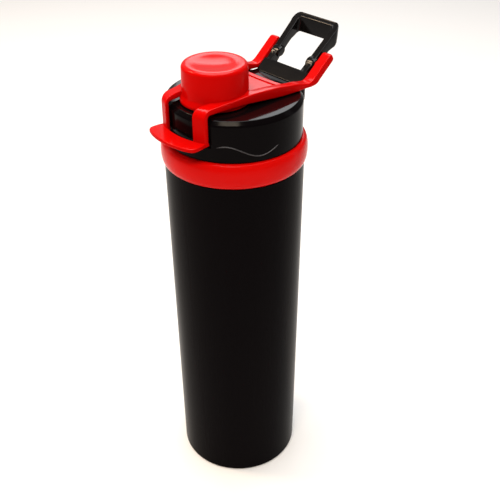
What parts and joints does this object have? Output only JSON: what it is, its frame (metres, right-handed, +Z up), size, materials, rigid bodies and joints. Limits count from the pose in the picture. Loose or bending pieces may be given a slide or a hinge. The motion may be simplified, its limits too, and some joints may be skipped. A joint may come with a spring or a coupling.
{
  "type": "shaker bottle",
  "caption": "Tall shaker bottle with a screw lid, a flip-up lever whose knob seals the drinking spout, a thumb tab and a carrying loop.",
  "frame": {"origin": "centre of the flat base, on the plane the bottle stands on", "axes": "+Z up the bottle's axis; the thumb tab points to -Y and the carrying loop to +Y; +X is to the right seen from the back"},
  "size_m": [0.0774, 0.1072, 0.2654],
  "materials": {
    "cup_black": "satin",
    "collar_red": "satin",
    "lid_black": "gloss",
    "handle_black": "satin",
    "lever_red": "gloss",
    "silicone_clear": "matte",
    "grid_grey": "matte"
  },
  "bodies": {
    "cup": {"bottle_body": "cup_black", "collar_ring": "collar_red"},
    "gasket": {"lid_gasket": "silicone_clear"},
    "cap": {"lid": "lid_black", "carry_handle": "handle_black", "mixing_grid": "grid_grey"},
    "lever": {"flip_lever": "lever_red", "spout_seal": "silicone_clear"}
  },
  "joints": [
    {"name": "lid_lift", "type": "slide", "parent": "cup", "child": "gasket", "axis": [0, 0, 1], "range_m": [0, 0.00405]},
    {"name": "lid_spin", "type": "hinge", "parent": "gasket", "child": "cap", "pos_m": [0, 0, 0.227], "axis": [0, 0, 1], "range_deg": [0, 360]},
    {"name": "lever_flip", "type": "hinge", "parent": "cap", "child": "lever", "pos_m": [0, 0.04399, 0.24801], "axis": [-1, 0, 0], "range_deg": [0, 110]}
  ],
  "couplings": [
    {"joint": "lid_lift", "follows": "lid_spin", "m_per_rad": 0.00063662}
  ]
}
